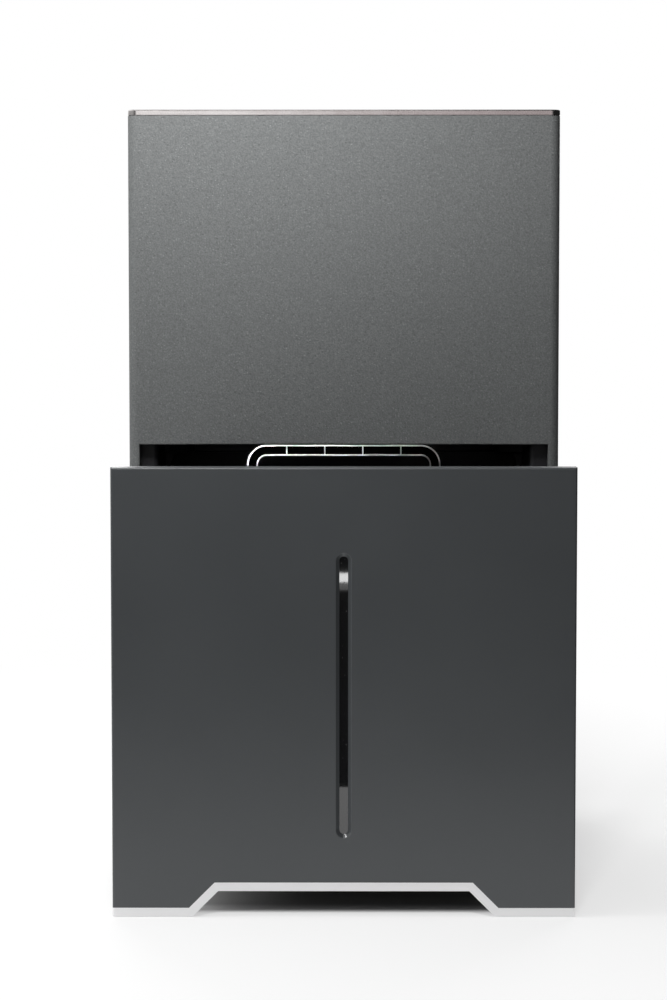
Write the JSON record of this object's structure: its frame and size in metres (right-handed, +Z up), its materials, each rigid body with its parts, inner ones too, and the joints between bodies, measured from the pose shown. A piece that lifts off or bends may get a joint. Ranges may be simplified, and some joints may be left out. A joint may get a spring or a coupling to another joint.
{
  "type": "trash compactor",
  "caption": "Free-standing trash compactor: tall cabinet with a screw-driven press above a pull-out drawer that carries a lift-out bin with a bail handle.",
  "frame": {"origin": "on the floor, in the middle of the open compactor's outline", "axes": "+Z up, +X to the right of someone facing the front, the front looks along -Y"},
  "size_m": [0.43, 0.576, 0.773],
  "materials": {
    "textured_coat": "fine textured powder coat, dark grey",
    "satin_paint": "smooth satin paint, dark grey",
    "polished_steel": "polished",
    "satin_aluminium": "satin anodised",
    "gloss_black": "gloss black",
    "frame_paint": "dark semi-gloss paint",
    "galvanised_steel": "zinc plated",
    "black_plastic": "moulded, matt black",
    "grey_plastic": "moulded, matt grey",
    "black_rubber": "matt",
    "handle_chrome": "polished plating",
    "bronze": "sintered bronze",
    "motor_enamel": "grey enamel",
    "control_plastic": "semi-gloss dark grey"
  },
  "bodies": {
    "cabinet": {"cabinet_wrap": "textured_coat", "base_pan": "galvanised_steel", "rubber_feet": "black_rubber", "rear_cover": "frame_paint", "rear_cover_screws": "galvanised_steel", "cord_gland": "black_plastic", "top_gasket": "black_rubber", "top_plate": "polished_steel", "control_plate": "gloss_black", "start_switch": "grey_plastic", "lock_switch": "grey_plastic", "side_frame_left": "frame_paint", "side_frame_right": "frame_paint", "top_beam": "galvanised_steel", "beam_flanges": "galvanised_steel", "frame_crossbar": "frame_paint", "chamber_back": "frame_paint", "upper_bushes": "bronze", "bearing_bracket_left": "frame_paint", "bearing_bracket_right": "frame_paint", "drive_belt": "black_rubber", "gearbox": "satin_aluminium", "gear_motor": "motor_enamel", "motor_capacitor": "grey_plastic", "control_box": "grey_plastic", "upper_limit_switch": "black_plastic", "lower_limit_switch": "black_plastic", "reed_sensor": "black_plastic", "slide_outer_left": "galvanised_steel", "slide_outer_right": "galvanised_steel"},
    "drawer": {"drawer_front": "satin_paint", "window_strip": "gloss_black", "front_trim": "satin_aluminium", "front_liner": "black_plastic", "odour_filter": "grey_plastic", "carriage": "frame_paint", "bin_tub": "black_plastic", "handle_pins": "galvanised_steel", "interlock_magnet": "black_plastic", "slide_inner_left": "galvanised_steel", "slide_inner_right": "galvanised_steel"},
    "slide_middles": {"slide_middle_left": "galvanised_steel", "slide_middle_right": "galvanised_steel"},
    "ram": {"ram_shell": "galvanised_steel", "press_plate": "frame_paint", "crosshead": "frame_paint", "screw_nut_left": "bronze", "screw_nut_right": "bronze", "guide_shoes": "grey_plastic"},
    "screw_left": {"lead_screw_left": "galvanised_steel", "screw_pulley_left": "satin_aluminium"},
    "screw_right": {"lead_screw_right": "galvanised_steel", "screw_pulley_right": "satin_aluminium"},
    "motor_drive": {"motor_pulley": "satin_aluminium", "motor_shaft": "galvanised_steel"},
    "handle": {"bail_handle": "handle_chrome"},
    "button": {"start_button": "control_plastic"},
    "knob": {"lock_knob": "control_plastic"}
  },
  "joints": [
    {"name": "drawer_slide", "type": "slide", "parent": "cabinet", "child": "drawer", "axis": [0, -1, 0], "range_m": [-0.205, 0.064]},
    {"name": "slide_middle_run", "type": "slide", "parent": "cabinet", "child": "slide_middles", "axis": [0, -1, 0], "range_m": [-0.1026, 0.0322]},
    {"name": "ram_slide", "type": "slide", "parent": "cabinet", "child": "ram", "axis": [0, 0, 1], "range_m": [-0.27, 0]},
    {"name": "screw_left_spin", "type": "hinge", "parent": "cabinet", "child": "screw_left", "pos_m": [-0.169, 0.081, 0.6], "axis": [0, 0, 1], "continuous": true},
    {"name": "screw_right_spin", "type": "hinge", "parent": "cabinet", "child": "screw_right", "pos_m": [0.169, 0.081, 0.6], "axis": [0, 0, 1], "continuous": true},
    {"name": "motor_spin", "type": "hinge", "parent": "cabinet", "child": "motor_drive", "pos_m": [0, 0.245, 0.738], "axis": [0, 0, 1], "continuous": true},
    {"name": "handle_swing", "type": "hinge", "parent": "drawer", "child": "handle", "pos_m": [0, -0.017, 0.384], "axis": [-1, 0, 0], "range_deg": [0, 165]},
    {"name": "start_press", "type": "slide", "parent": "cabinet", "child": "button", "axis": [0, 0, -1], "range_m": [0, 0.002], "stiffness_N_per_m": 400, "springref_m": -0.003},
    {"name": "lock_turn", "type": "hinge", "parent": "cabinet", "child": "knob", "pos_m": [0.028, 0.143, 0.768], "axis": [0, 0, 1], "range_deg": [0, 90]}
  ],
  "couplings": [
    {"joint": "slide_middle_run", "follows": "drawer_slide", "ratio": 0.5},
    {"joint": "screw_left_spin", "follows": "ram_slide", "rad_per_m": -628.32},
    {"joint": "screw_right_spin", "follows": "ram_slide", "rad_per_m": -628.32},
    {"joint": "motor_spin", "follows": "ram_slide", "rad_per_m": -628.32}
  ]
}
